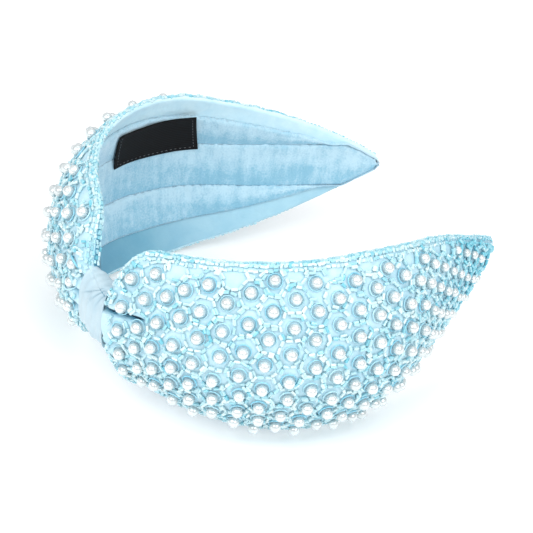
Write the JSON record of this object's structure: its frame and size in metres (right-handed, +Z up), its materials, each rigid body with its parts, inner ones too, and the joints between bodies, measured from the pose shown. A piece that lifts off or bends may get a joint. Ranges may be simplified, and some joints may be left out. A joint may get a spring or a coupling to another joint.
{
  "type": "headband",
  "caption": "Wide padded headband, pinched at the crown by a wrapped satin strap, beaded with pearls outside and lined with velvet ribbon.",
  "frame": {"origin": "on the inner face, in the middle of the crown", "axes": "+Z up across the width of the band, +X from the crown to the two tips, +Y to the left arm"},
  "size_m": [0.1556, 0.1546, 0.0714],
  "materials": {
    "satin": "pale blue satin",
    "strap_satin": "very pale blue satin",
    "velvet": "short pile velvet",
    "foam": "foam padding",
    "moulded_plastic": "moulded",
    "label": "woven",
    "pearl": "pearl lacquer",
    "glass_beads": "clear glass beads"
  },
  "bodies": {
    "root": {"cover_left": "satin", "cover_right": "satin", "edge_beads_lower_left": "glass_beads", "edge_beads_lower_right": "glass_beads", "edge_beads_upper_left": "glass_beads", "edge_beads_upper_right": "glass_beads", "foam_pad_left": "foam", "foam_pad_right": "foam", "knot_wrap": "strap_satin", "pearls_left_row_1": "pearl", "pearls_left_row_2": "pearl", "pearls_left_row_3": "pearl", "pearls_left_row_4": "pearl", "pearls_left_row_5": "pearl", "pearls_left_row_6": "pearl", "pearls_left_row_7": "pearl", "pearls_left_row_8": "pearl", "pearls_right_row_1": "pearl", "pearls_right_row_2": "pearl", "pearls_right_row_3": "pearl", "pearls_right_row_4": "pearl", "pearls_right_row_5": "pearl", "pearls_right_row_6": "pearl", "pearls_right_row_7": "pearl", "pearls_right_row_8": "pearl", "plastic_band": "moulded_plastic", "velvet_lower": "velvet", "velvet_middle": "velvet", "velvet_upper": "velvet", "woven_label": "label"}
  },
  "joints": []
}
